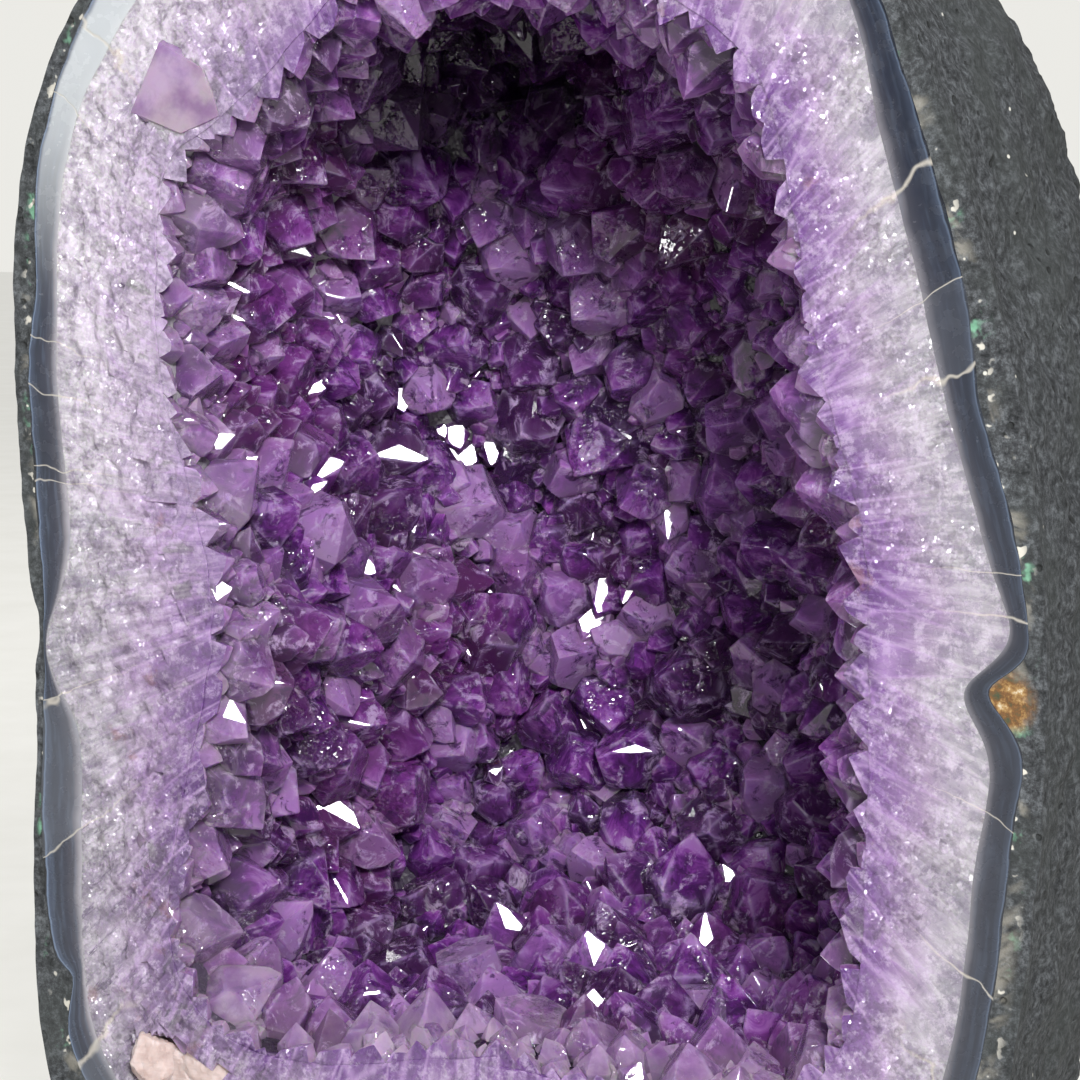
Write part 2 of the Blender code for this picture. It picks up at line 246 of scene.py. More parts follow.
ROCK_EDGE, AGATE_EDGE, QUARTZ_EDGE, CAVITY_EDGE = face_edges()
NODULE_STEP = int(np.argmin(np.abs(CENTRE.z + AGATE_EDGE * COS - NODULE_Z) + (SIN < 0)))
NODULE = (CENTRE.x + (AGATE_EDGE[NODULE_STEP] + 2.5 * MM) * SIN[NODULE_STEP], FACE_Y, NODULE_Z)


def rim_ring(radius, y=FACE_Y):
    return np.stack([CENTRE.x + radius * SIN, np.full(STEPS_ROUND, y), CENTRE.z + radius * COS], 1)


def bowl_grid(node, edge, rings, inside):
    """Rings of points on one side of a layer, from its edge on the face to its pole behind."""
    first = rim_ring(edge)
    heart = np.array(HEART)
    grid = [first]
    for step in range(1, rings):
        share = step / rings
        ring = []
        for k in range(STEPS_ROUND):
            start = first[k] - heart
            flat = math.hypot(start[0], start[2])
            low = math.atan2(start[1], flat)
            lift = low + (math.pi / 2 - low) * share
            out = Vector((
                start[0] / flat * math.cos(lift), math.sin(lift), start[2] / flat * math.cos(lift),
            ))
            ring.append(surface_hit(node, HEART, out, inside))
        grid.append(np.array(ring))
    return np.array(grid)


def relax(grid, rounds, keep_base=False):
    """Takes the facets out of a grid by averaging, with its first ring held."""
    held = grid[0].copy()
    for _ in range(rounds):
        sides = (np.roll(grid, 1, axis=1) + np.roll(grid, -1, axis=1)) / 2
        middle = sides.copy()
        middle[1:-1] = (sides[1:-1] + (grid[:-2] + grid[2:]) / 2) / 2
        moved = grid + 0.6 * (middle - grid)
        if keep_base:
            moved[..., 2] = np.where(grid[..., 2] < 0.3 * MM, grid[..., 2], moved[..., 2])
        grid = moved
        grid[0] = held
    return grid


def grid_normals(grid):
    """Outward directions over a grid of rings."""
    round_way = np.roll(grid, -1, axis=1) - np.roll(grid, 1, axis=1)
    back_way = np.gradient(grid, axis=0)
    normals = np.cross(round_way, back_way)
    normals /= np.linalg.norm(normals, axis=2, keepdims=True) + 1e-12
    away = grid - np.array(HEART)
    flip = np.sign((normals * away).sum(axis=2, keepdims=True))
    return normals * np.where(flip == 0, 1, flip)


def fade_in(rings, over):
    """0 at the rim, rising to 1 over some rings."""
    return np.clip(np.arange(rings) / over, 0, 1)[:, None]


def lumps(points, scale, octaves, seed):
    """Layered noise at each point."""
    shift = Vector((seed, 2.3 * seed, -seed))
    flat = points.reshape(-1, 3) / scale
    found = [
        noise.fractal(Vector(point) + shift, 0.9, 2.1, octaves, noise_basis="PERLIN_ORIGINAL")
        for point in flat
    ]
    return np.array(found).reshape(points.shape[:-1])


def pits(points, scale, seed):
    """Round hollows: 1 in the middle of a pit and 0 between them."""
    shift = Vector((seed, -seed, 3.1 * seed))
    flat = points.reshape(-1, 3) / scale
    found = []
    for point in flat:
        near = noise.voronoi(Vector(point) + shift)[0][0]
        found.append(max(0.0, 1 - near / 0.34))
    return np.array(found).reshape(points.shape[:-1])


def set_mark(mesh, name, values, domain="POINT"):
    """Gives each point or face of a mesh a number or a vector that its material reads."""
    kind, key = ("FLOAT", "value") if values.ndim == 1 else ("FLOAT_VECTOR", "vector")
    mark = mesh.attributes.new(name, kind, domain)
    mark.data.foreach_set(key, values.astype(np.float32).ravel())


def placed(name, mesh, finishes=(), sharp_from=None):
    """An object in the scene, shaded smooth up to an angle if one is given."""
    if sharp_from is not None:
        mesh.shade_smooth()
        mesh.set_sharp_from_angle(angle=sharp_from)
    for finish in finishes:
        mesh.materials.append(finish)
    made = bpy.data.objects.new(name, mesh)
    bpy.context.scene.collection.objects.link(made)
    return made


class Sheet:
    """Points and faces of a piece while it is put together."""

    def __init__(self):
        self.points = []
        self.rim = []
        self.faces = []
        self.count = 0

    def add_ring(self, ring, rim):
        first = self.count
        self.points.append(ring)
        self.rim.append(rim)
        self.count += len(ring)
        return first

    def join(self, near, far, flip=False):
        for k in range(STEPS_ROUND):
            after = (k + 1) % STEPS_ROUND
            face = (near + k, near + after, far + after, far + k)
            self.faces.append(face[::-1] if flip else face)

    def add_bowl(self, grid, near, across=0.0, flip=False):
        """Adds a grid of rings behind a ring that is there already, and closes it at the back."""
        rim = rim_mark(across)
        for ring in grid[1:]:
            far = self.add_ring(ring, rim)
            self.join(near, far, flip)
            near = far
        pole = self.count
        self.points.append(grid[-1].mean(axis=0)[None, :])
        self.rim.append(rim[:1])
        self.count += 1
        for k in range(STEPS_ROUND):
            face = (near + k, near + (k + 1) % STEPS_ROUND, pole)
            self.faces.append(face[::-1] if flip else face)

    def piece(self, name, finish):
        mesh = bpy.data.meshes.new(name)
        mesh.from_pydata(np.concatenate(self.points).tolist(), [], self.faces)
        set_mark(mesh, "rim", np.concatenate(self.rim))
        mesh.update()
        return placed(name, mesh, [finish], math.radians(50))


def rim_mark(across):
    """Where a rim point is: two numbers round the stone and the distance in from the agate."""
    return np.stack([ROUND * SIN, ROUND * COS, np.full(STEPS_ROUND, across)], 1)


def rim_rows(sheet, outer, inner, rows, shape, across_outer, across_inner):
    """The sawn rim between two edges. shape gives each row's y from its place."""
    firsts = []
    for row in range(rows + 1):
        share = row / rows
        radius = outer * (1 - share) + inner * share
        ring = rim_ring(radius)
        ring[:, 1] = shape(ring, share)
        across = across_outer * (1 - share) + across_inner * share
        firsts.append(sheet.add_ring(ring, rim_mark(across)))
    for near, far in zip(firsts, firsts[1:]):
        sheet.join(near, far, flip=True)
    return firsts[0], firsts[-1]


def flat_face(ring, share):
    return np.full(len(ring), FACE_Y)


# ---------------------------------------------------------------- materials

class Shader:
    """A short way to write a material's nodes."""

    def __init__(self, name):
        self.material = bpy.data.materials.new(name)
        self.material.use_nodes = True
        self.tree = self.material.node_tree
        self.surface = self.tree.nodes["Principled BSDF"]
        self.body = None

    def node(self, kind, inputs=None, **settings):
        made = self.tree.nodes.new(kind)
        for key, value in settings.items():
            setattr(made, key, value)
        for key, value in (inputs or {}).items():
            self.feed(made.inputs[key], value)
        return made

    def feed(self, socket, value):
        if isinstance(value, bpy.types.NodeSocket):
            self.tree.links.new(value, socket)
        elif isinstance(value, str):
            socket.default_value = (*rgb(value), 1.0)
        else:
            socket.default_value = value

    def set(self, **inputs):
        for key, value in inputs.items():
            self.feed(self.surface.inputs[key.replace("_", " ")], value)

    def paint(self, share, colour):
        """Lays a share of a colour over the body colour so far."""
        self.body = self.mix(share, self.body, colour)

    def glow(self, weight, radius, scale):
        """How light spreads below the surface. Constants, set on the shader itself."""
        self.set(Subsurface_Weight=weight, Subsurface_Radius=radius, Subsurface_Scale=scale)

    def position(self):
        return self.node("ShaderNodeNewGeometry").outputs["Position"]

    def mark(self, name, output="Vector"):
        return self.node("ShaderNodeAttribute", attribute_name=name).outputs[output]

    def split(self, vector):
        return self.node("ShaderNodeSeparateXYZ", {"Vector": vector}).outputs

    def join(self, x, y, z):
        return self.node("ShaderNodeCombineXYZ", {"X": x, "Y": y, "Z": z}).outputs[0]

    def math(self, operation, first, second=0.0, clamp=False):
        made = self.node("ShaderNodeMath", operation=operation, use_clamp=clamp)
        self.feed(made.inputs[0], first)
        self.feed(made.inputs[1], second)
        return made.outputs[0]

    def vector(self, operation, first, second):
        made = self.node("ShaderNodeVectorMath", operation=operation)
        self.feed(made.inputs[0], first)
        self.feed(made.inputs[1], second)
        return made.outputs

    def times(self, first, second, clamp=False):
        return self.math("MULTIPLY", first, second, clamp)

    def plus(self, first, second, clamp=False):
        return self.math("ADD", first, second, clamp)

    def sway(self, value, amount):
        """Swings a value of 0 to 1 both ways from nothing."""
        return self.times(self.math("SUBTRACT", value, 0.5), amount)

    def scale(self, vector, amounts):
        return self.vector("MULTIPLY", vector, amounts)[0]

    def noise(self, vector, scale, detail=3.0, rough=0.55, warp=0.0, colour=False):
        made = self.node("ShaderNodeTexNoise", {
            "Vector": vector, "Scale": scale, "Detail": detail,
            "Roughness": rough, "Distortion": warp,
        })
        return made.outputs["Color" if colour else "Fac"]

    def cells(self, vector, scale, feature="F1", output="Distance"):
        made = self.node("ShaderNodeTexVoronoi", {"Scale": scale}, feature=feature)
        self.feed(made.inputs["Vector"], vector)
        return made.outputs[output]

    def ramp(self, value, low, high, to_low=0.0, to_high=1.0, smooth=True):
        made = self.node("ShaderNodeMapRange", {
            "Value": value, "From Min": low, "From Max": high,
            "To Min": to_low, "To Max": to_high,
        })
        made.interpolation_type = "SMOOTHSTEP" if smooth else "LINEAR"
        return made.outputs[0]

    def colours(self, value, stops):
        made = self.node("ShaderNodeValToRGB", {"Fac": value})
        ramp = made.color_ramp
        while len(ramp.elements) < len(stops):
            ramp.elements.new(1.0)
        for element, (place, colour) in zip(ramp.elements, stops):
            element.position = place
            element.color = (*rgb(colour), 1.0)
        return made.outputs["Color"]

    def mix(self, share, first, second):
        made = self.node("ShaderNodeMix", data_type="RGBA")
        self.feed(made.inputs[0], share)
        self.feed(made.inputs[6], first)
        self.feed(made.inputs[7], second)
        return made.outputs[2]

    def broken(self, vector, scale, steepness):
        """The relief of a broken surface: small flat grains, each tilted its own way."""
        grain = self.node("ShaderNodeTexVoronoi", {"Vector": vector, "Scale": scale})
        away = self.vector("SUBTRACT", vector, grain.outputs["Position"])[0]
        lean = self.vector("SUBTRACT", grain.outputs["Color"], (0.5, 0.5, 0.5))[0]
        return self.times(self.vector("DOT_PRODUCT", away, lean)["Value"], steepness)

    def bump(self, height, distance, strength=1.0):
        made = self.node("ShaderNodeBump", {
            "Height": height, "Distance": distance, "Strength": strength,
        })
        return made.outputs[0]


def rgb(code):
    """Linear colour from a six-figure screen colour."""
    parts = [int(code[k:k + 2], 16) / 255 for k in (0, 2, 4)]
    return tuple(p / 12.92 if p <= 0.04045 else ((p + 0.055) / 1.055) ** 2.4 for p in parts)


def basalt_material():
    s = Shader("basalt")
    place = s.position()
    broad = s.noise(place, 40, 4)
    grain = s.noise(place, 520, 6, 0.8)
    streak = s.noise(s.scale(place, (1.0, 1.0, 0.6)), 150, 4)
    s.body = s.colours(grain, [(0.36, "1C1E20"), (0.5, "3C3E41"), (0.64, "63676B")])
    s.paint(s.ramp(broad, 0.42, 0.62), s.mix(0.5, s.body, "3C403F"))
    s.paint(s.ramp(streak, 0.5, 0.7, 0, 0.4), "2E3131")
    # The pits are painted darker as well as sunk in the bump: painted shade in the hollows
    holes = s.cells(place, 300, "SMOOTH_F1")
    dark = s.times(s.ramp(holes, 0.14, 0.26, 1, 0), s.ramp(s.noise(place, 130, 2), 0.50, 0.60))
    s.paint(s.times(dark, 0.75), "1D1F1F")
    flecks = s.cells(place, 210)
    white = s.ramp(flecks, 0.05, 0.11, 1, 0)
    chosen = s.ramp(s.noise(place, 75, 2), 0.56, 0.62)
    s.paint(s.times(white, chosen), "C9C7BE")
    across = s.split(s.mark("rim"))[2]
    near_rim = s.ramp(across, -9.6 * MM, -8.2 * MM, 0, 1)
    green = s.times(s.ramp(s.noise(place, 95, 4, 0.65), 0.58, 0.66), near_rim)
    s.paint(green, s.mix(s.noise(place, 500, 2), "3E6A52", "86B79C"))
    tan = s.times(s.ramp(s.noise(place, 70, 4, 0.6, 0.6), 0.55, 0.66), near_rim)
    s.paint(s.times(tan, 0.6), "918D83")
    crumbs = s.times(s.ramp(s.noise(place, 260, 2), 0.64, 0.68), near_rim)
    s.paint(crumbs, "C2BEB4")
    spot = s.vector("DISTANCE", place, NODULE)["Value"]
    near_nodule = s.ramp(spot, 4.0 * MM, 7.5 * MM, 1, 0)
    earthy = s.colours(s.noise(place, 420, 4, 0.7), [
        (0.30, "3B4A38"), (0.48, "6B4A2C"), (0.60, "9A7B4E"), (0.72, "C9C2AE"),
    ])
    s.paint(near_nodule, earthy)
    crust = s.times(s.ramp(spot, 3.4 * MM, 4.4 * MM), s.ramp(spot, 6.2 * MM, 5.2 * MM))
    s.paint(s.times(crust, s.ramp(broad, 0.42, 0.56)), "A9A498")
    height = s.plus(s.times(grain, 0.5), s.times(dark, -0.7))
    s.set(Base_Color=s.body, Roughness=s.ramp(grain, 0.3, 0.7, 0.95, 0.78))
    s.set(Normal=s.bump(height, 0.8 * MM, 1.0))
    s.set(Specular_IOR_Level=0.3)
    return s.material


def crack_lines(s, rim):
    """Hairline cracks across the rim, 20 to 30 mm apart, and the tone of each stretch between."""
    wander = s.scale(s.noise(s.position(), 130, 2, colour=True), (0.0035, 0.0035, 0.0))
    flat = s.scale(s.vector("ADD", rim, wander)[0], (1.0, 1.0, 0.0))
    edge = s.cells(flat, 30, "DISTANCE_TO_EDGE")
    line = s.ramp(edge, 0.0, CRACK_WIDTH * 30, 1, 0)
    tone = s.split(s.cells(flat, 30, "F1", "Color"))[0]
    return line, tone


def agate_material():
    s = Shader("agate")
    rim = s.mark("rim")
    x, y, across = s.split(rim)
    place = s.position()
    wobble = s.sway(s.noise(place, 90, 3), 2.2 * MM)
    depth = s.plus(across, wobble)
    share = s.ramp(depth, -9 * MM, 0.0, 0, 1, smooth=False)
    line, tone = crack_lines(s, rim)
    s.body = s.colours(share, [
        (0.0, "131417"), (0.03, "22242B"), (0.06, "66758C"), (0.10, "3D4658"),
        (0.28, "272C39"), (0.55, "2E313F"), (0.78, "45454F"), (1.0, "96929A"),
    ])
    bands = s.noise(s.join(s.times(x, 0.12), s.times(y, 0.12), depth), 900, 2)
    s.paint(s.ramp(bands, 0.48, 0.68, 0, 0.16), "6B7B92")
    s.paint(s.ramp(tone, 0.62, 1.0, 0, 0.35), "62666F")
    s.paint(s.ramp(tone, 0.0, 0.4, 0.4, 0), "20242F")
    sides = s.split(place)
    # A whitish grey patch on the upper left of the band's inner side: a painted reflection
    painted_reflection = s.times(
        s.ramp(sides[2], 190 * MM, 250 * MM), s.ramp(sides[0], -20 * MM, -60 * MM))
    s.paint(s.ramp(sides[0], 20 * MM, 70 * MM, 0, 0.5), "1C202B")
    inner_side = s.ramp(share, 0.04, 0.2)
    painted_reflection = s.times(painted_reflection, inner_side)
    s.paint(s.times(painted_reflection, 0.85), "B0B4B8")
    s.paint(s.times(line, 0.7), "B5AFA5")
    s.set(Base_Color=s.body, Roughness=s.ramp(s.noise(place, 300, 3), 0.35, 0.7, 0.16, 0.34))
    s.set(Normal=s.bump(s.times(line, -1.0), 0.1 * MM, 0.6))
    s.glow(0.25, (1.0, 1.1, 1.3), 1.2 * MM)
    s.set(IOR=1.54)
    return s.material


def quartz_material():
    """White and sugary by the agate, lavender in the middle and violet at the cavity; the cavity's
    wall behind the crystals is painted near black, as painted shade between them.
    """
    s = Shader("quartz")
    rim = s.mark("rim")
    x, y, across = s.split(rim)
    place = s.position()
    fan = s.join(x, y, s.times(across, 0.22))
    columns = s.noise(fan, 300, 4, 0.6, 0.6)
    column_tone = s.split(s.cells(fan, 125, "F1", "Color"))[0]
    seam = s.cells(fan, 125, "DISTANCE_TO_EDGE")
    broad = s.noise(place, 60, 3)
    mottle = s.noise(place, 170, 6, 0.72, 0.4)
    wander = s.sway(columns, 8 * MM)
    wander = s.plus(wander, s.sway(broad, 16 * MM))
    wander = s.plus(wander, s.sway(column_tone, 7 * MM))
    depth = s.plus(across, wander)
    share = s.ramp(depth, 0.0, 60 * MM, 0, 1, smooth=False)
    # The last stops run to near black on the cavity's wall behind the crystals: painted shade
    # between them
    s.body = s.colours(share, [
        (0.0, "8B8890"), (0.05, "9A959D"), (0.16, "9A929F"), (0.27, "917F99"),
        (0.38, "806490"), (0.49, "6C4883"), (0.60, "4E2569"), (0.85, "14051D"),
    ])
    outer = s.ramp(across, 40 * MM, 50 * MM, 1, 0)
    sides = s.split(place)
    left = s.ramp(sides[0], -40 * MM, -75 * MM)
    high = s.times(left, s.ramp(sides[2], 110 * MM, 190 * MM))
    low = s.times(left, s.ramp(sides[2], 120 * MM, 60 * MM))
    s.paint(s.times(high, 0.45), "D2CBD5")
    s.paint(s.times(low, 0.4), "6F6677")
    threads = s.noise(s.join(x, y, s.times(across, 0.07)), 800, 4, 0.6)
    fibres = s.plus(s.ramp(columns, 0.36, 0.64, -0.5, 0.5), s.ramp(threads, 0.36, 0.64, -0.2, 0.2))
    fibres = s.times(fibres, outer)
    s.paint(s.times(fibres, 0.55, clamp=True), s.mix(share, "CFC9D3", "B698C6"))
    s.paint(s.times(fibres, -0.6, clamp=True), s.mix(share, "736980", "4A2862"))
    dark = s.times(s.ramp(mottle, 0.50, 0.62, 0, 0.5), outer)
    s.paint(dark, s.mix(share, "6C6077", "4A2862"))
    frost = s.times(s.ramp(s.noise(place, 300, 7, 0.78), 0.49, 0.62, 0, 0.5), outer)
    s.paint(frost, s.mix(share, "C5BDC9", "A98DBA"))
    specks = s.ramp(s.noise(fan, 700, 4, 0.7), 0.55, 0.66, 0, 0.7)
    specks = s.times(s.times(specks, outer), s.plus(0.25, low))
    s.paint(specks, "5B5266")
    seams = s.times(s.ramp(seam, 0.0, 0.06, 0.4, 0), s.times(outer, share))
    s.paint(s.times(seams, 2.0), "B79AC6")
    line, _ = crack_lines(s, rim)
    fade = s.ramp(across, 0.0, 22 * MM, 0.65, 0.0)
    s.paint(s.times(line, fade), "C4BAB0")
    rust = s.times(s.ramp(s.noise(place, 60, 5, 0.7), 0.62, 0.70, 0, 0.5), outer)
    s.paint(rust, "7F5A58")
    tilt = s.split(s.cells(place, 620, "F1", "Color"))[0]
    sugar = s.ramp(s.noise(place, 45, 3), 0.42, 0.60, 0.1, 0.9)
    sugar = s.plus(sugar, s.times(left, 0.4), clamp=True)
    grains = s.plus(s.broken(place, 620, 1.0), s.broken(place, 1500, 1.0))
    relief = s.plus(s.times(grains, sugar), s.times(mottle, 0.3 * MM))
    s.set(Base_Color=s.body, Roughness=s.ramp(tilt, 0.0, 1.0, 0.10, 0.45))
    s.set(Normal=s.bump(relief, 1.0, 0.8))
    s.glow(0.5, (1.2, 0.8, 1.5), 1.4 * MM)
    s.set(IOR=1.54)
    return s.material


def amethyst_material():
    """Violet crystals: each has its own tone, and each facet its own finish."""
    s = Shader("amethyst")
    home = s.mark("home")
    place = s.position()
    height, tone, pale = s.split(s.mark("mood"))
    edge = s.mark("edge", "Fac")
    facet = s.mark("facet", "Fac")
    zone = s.noise(home, 170, 5, 0.65, 1.0)
    # Body colour by height along each crystal, swayed by noise zoning: dark at the roots, which is
    # painted shade in the crevices between crystals, and pale toward the tips
    zoning_and_root_shade = s.plus(height, s.sway(zone, 2.6))
    s.body = s.colours(zoning_and_root_shade, [
        (0.0, "340646"), (0.22, "4F0F68"), (0.48, "6E2189"), (0.76, "9444AD"),
        (1.0, "B577CE"),
    ])
    s.paint(s.ramp(tone, 0.55, 1.0, 0, 0.7), "CA9CDE")
    s.paint(s.ramp(tone, 0.0, 0.45, 0.85, 0), "36083F")
    wine = s.ramp(s.noise(place, 16, 2), 0.48, 0.62, 0, 0.45)
    s.paint(wine, "742873")
    veil = s.ramp(s.noise(place, 230, 6, 0.7, 0.6), 0.53, 0.66, 0, 0.85)
    s.paint(veil, "D8BCEA")
    flaw = s.ramp(s.noise(place, 190, 6, 0.7, 0.8), 0.46, 0.36, 0, 0.85)
    s.paint(flaw, "360A4C")
    # Paler along the crystals' edges where the noise zones allow: a painted highlight
    painted_edge_highlight = s.times(s.math("POWER", edge, 9.0), s.ramp(zone, 0.42, 0.60))
    s.paint(s.times(painted_edge_highlight, 0.4), "D4BCEA")
    # Crystals near the sawn face are paler; the extra paleness along the sill and on the left is
    # painted light
    paleness_and_painted_light = s.mix(s.ramp(s.noise(home, 150, 5), 0.35, 0.7), "D3BCDA", "A585B6")
    s.paint(s.times(pale, 0.9, clamp=True), paleness_and_painted_light)
    # Crystals in the roof's hollow are painted darker, towards near black: painted shade under the
    # arch
    hollow_painted_shade = s.times(pale, -0.9, clamp=True)
    s.paint(hollow_painted_shade, "10041A")
    rusty = s.ramp(s.noise(place, 190, 4, 0.65), 0.73, 0.77, 0, 0.8)
    s.paint(rusty, "7A4030")
    lines = s.noise(s.scale(home, (0.1, 0.1, 1.0)), 2400, 2, 0.5)
    steps = s.math("FRACT", s.times(edge, s.plus(2.0, s.times(facet, 5.0))))
    dull = s.math("SUBTRACT", 1.0, s.ramp(facet, 0.54, 0.62))
    etched = s.times(s.ramp(s.noise(place, 120, 3, 0.6), 0.47, 0.53), dull)
    grains = s.broken(place, 900, 0.9)
    fine = s.broken(place, 2100, 0.9)
    relief = s.plus(s.times(lines, 0.03 * MM), s.times(steps, 0.02 * MM))
    relief = s.times(relief, dull)
    coarse = s.times(s.plus(grains, fine), etched)
    hills = s.times(s.noise(place, 160, 2), 0.5 * MM)
    coarse = s.plus(coarse, s.times(hills, dull))
    relief = s.plus(relief, coarse)
    rough = s.plus(0.03, s.times(etched, 0.12))
    s.set(Base_Color=s.body, Roughness=rough)
    s.set(Normal=s.bump(relief, 1.0, 0.8))
    s.glow(0.5, (1.0, 0.35, 1.8), 3.0 * MM)
    s.set(IOR=1.56, Transmission_Weight=0.5)
    return s.material


def calcite_material():
    s = Shader("calcite")
    place = s.position()
    s.body = s.colours(s.noise(place, 150, 4, 0.6), [
        (0.3, "9A837E"), (0.5, "B9A6A2"), (0.75, "CFC3C4"),
    ])
    layers = s.noise(s.scale(place, (0.3, 0.3, 2.0)), 500, 3)
    s.set(Base_Color=s.body, Roughness=s.ramp(layers, 0.3, 0.7, 0.3, 0.6))
    s.set(Normal=s.bump(layers, 0.3 * MM, 0.6))
    s.glow(0.4, (1.4, 1.0, 0.8), 2.0 * MM)
    return s.material


def floor_material():
    s = Shader("pale_floor")
    grain = s.noise(s.position(), 30, 3)
    pale = s.colours(grain, [(0.3, "E9E8E2"), (0.7, "EFEEE9")])
    s.set(Base_Color="7C7B77", Roughness=0.8)
    s.set(Emission_Color=pale, Emission_Strength=0.79)
    return s.material


# ---------------------------------------------------------------- the layers

def make_rock():
    grid = relax(bowl_grid("basalt_rind", ROCK_EDGE, ROCK_RINGS, inside=False), 40, keep_base=True)
    out = grid_normals(grid)
    fade = fade_in(ROCK_RINGS, 5)
    off_base = np.clip((grid[..., 2] - 0.5 * MM) / (5 * MM), 0, 1)
    swell = 2.2 * MM * lumps(grid, 28 * MM, 3, 4.0)
    swell += 1.0 * MM * lumps(grid, 11 * MM, 2, 14.0)
    swell += 0.8 * MM * lumps(grid, 4 * MM, 4, 9.0)
    holed = np.clip(2.5 * lumps(grid, 18 * MM, 2, 21.0), 0, 1)
    swell -= holed * (0.9 * MM * pits(grid, 7 * MM, 2.0) + 0.6 * MM * pits(grid, 3.4 * MM, 6.0))
    grid = grid + out * (swell * fade * off_base)[..., None]
    grid[..., 2] = np.maximum(grid[..., 2], 0.0)
    inner = relax(bowl_grid("basalt_rind", AGATE_EDGE, HIDDEN_RINGS, inside=True), 3)
    sheet = Sheet()

    def broken(ring, share):
        dip = 0.35 + 0.65 * lumps(ring, 3 * MM, 3, 1.0)
        return FACE_Y + np.maximum(0, dip) * 0.9 * MM * math.sin(math.pi * share)

    outer_first, inner_first = rim_rows(
        sheet, ROCK_EDGE, AGATE_EDGE, ROCK_RIM_ROWS, broken, ROCK_OUTSIDE, ROCK_INSIDE)
    sheet.add_bowl(grid, outer_first, across=1.2 * ROCK_OUTSIDE)
    sheet.add_bowl(inner, inner_first, across=ROCK_INSIDE, flip=True)
    rock = sheet.piece("rock", basalt_material())
    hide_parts("basalt_rind")
    return rock


def make_agate():
    outer = relax(bowl_grid("agate_band", AGATE_EDGE, HIDDEN_RINGS, inside=False), 3)
    inner = relax(bowl_grid("agate_band", QUARTZ_EDGE, HIDDEN_RINGS, inside=True), 3)
    sheet = Sheet()
    outer_first, inner_first = rim_rows(
        sheet, AGATE_EDGE, QUARTZ_EDGE, AGATE_RIM_ROWS, flat_face, AGATE_OUTSIDE, 0.0)
    sheet.add_bowl(outer, outer_first, across=AGATE_OUTSIDE)
    sheet.add_bowl(inner, inner_first, across=0.0, flip=True)
    band = sheet.piece("agate", agate_material())
    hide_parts("agate_band")
    return band


def wall_grid():
    """The cavity's wall, without the CAD's facets and points."""
    wall = relax(bowl_grid("quartz_band", CAVITY_EDGE, CAVITY_RINGS, inside=True), 60)
    apart = np.linalg.norm(wall - np.array(HOLLOW), axis=2)
    sunk = HOLLOW_DEPTH * np.exp(-(apart / HOLLOW_SPREAD) ** 2)
    sunk *= fade_in(CAVITY_RINGS, 12)
    return wall + grid_normals(wall) * sunk[..., None]


def pocket(ring):
    """How far the face is cut away round the calcite."""
    low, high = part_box("calcite_block_1")
    for name in ("calcite_block_2", "calcite_block_3"):
        other_low, other_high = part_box(name)
        low = Vector(map(min, low, other_low))
        high = Vector(map(max, high, other_high))
    middle, half = (low + high) / 2, (high - low) / 2
    x = np.abs(ring[:, 0] - middle.x) / half.x
    z = np.abs(ring[:, 2] - middle.z) / half.z
    inside = np.clip((1 - x ** 3 - z ** 3 + 0.35 * lumps(ring, 4 * MM, 2, 17.0)) * 2.5, 0, 1)
    return inside * (high.y - FACE_Y)


def make_quartz(wall, finish):
    outer = relax(bowl_grid("quartz_band", QUARTZ_EDGE, HIDDEN_RINGS, inside=False), 3)
    out = grid_normals(wall)
    rough = 0.8 * MM * lumps(wall, 4 * MM, 3, 3.0) * fade_in(CAVITY_RINGS, 6)
    rough_wall = wall + out * rough[..., None]
    sheet = Sheet()

    def sawn(ring, share):
        flat = 0.25 * MM * (0.5 + 0.5 * lumps(ring, 3 * MM, 3, 7.0)) * share
        left = np.clip((CENTRE.x - 45 * MM - ring[:, 0]) / (25 * MM), 0, 1)
        chips = np.clip(0.35 + lumps(ring, 4 * MM, 4, 12.0), 0, 1) * 1.8 * MM * left
        chips *= min(1.0, 6 * share) * min(1.0, 6 * (1 - share))
        return FACE_Y + flat + chips + pocket(ring)

    outer_first, inner_first = rim_rows(
        sheet, QUARTZ_EDGE, CAVITY_EDGE, QUARTZ_RIM_ROWS, sawn, 0.0, CAVITY_ACROSS)
    sheet.add_bowl(outer, outer_first, across=0.0)
    sheet.add_bowl(rough_wall, inner_first, across=WALL_ACROSS, flip=True)
    band = sheet.piece("quartz", finish)
    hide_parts("quartz_band")
    return band


# ---------------------------------------------------------------- crystals

def cut_away(mesh, place, normal):
    """Cuts away what lies beyond a plane and closes the cut."""
    geometry = mesh.verts[:] + mesh.edges[:] + mesh.faces[:]
    cut = bmesh.ops.bisect_plane(
        mesh, geom=geometry, plane_co=place, plane_no=normal, clear_outer=True)
    edges = [item for item in cut["geom_cut"] if isinstance(item, bmesh.types.BMEdge)]
    if len(edges) > 2:
        bmesh.ops.edgeloop_fill(mesh, edges=edges)


def scatter(dice):
    return Vector((dice.gauss(0, 1), dice.gauss(0, 1), dice.gauss(0, 1)))


def in_order(points, faces):
    """Sorts points and faces, because Blender's bevel leaves them in a chance order."""
    order = np.lexsort(points.T)
    rank = np.argsort(order).tolist()
    return order, sorted([rank[k] for k in face] for face in faces)


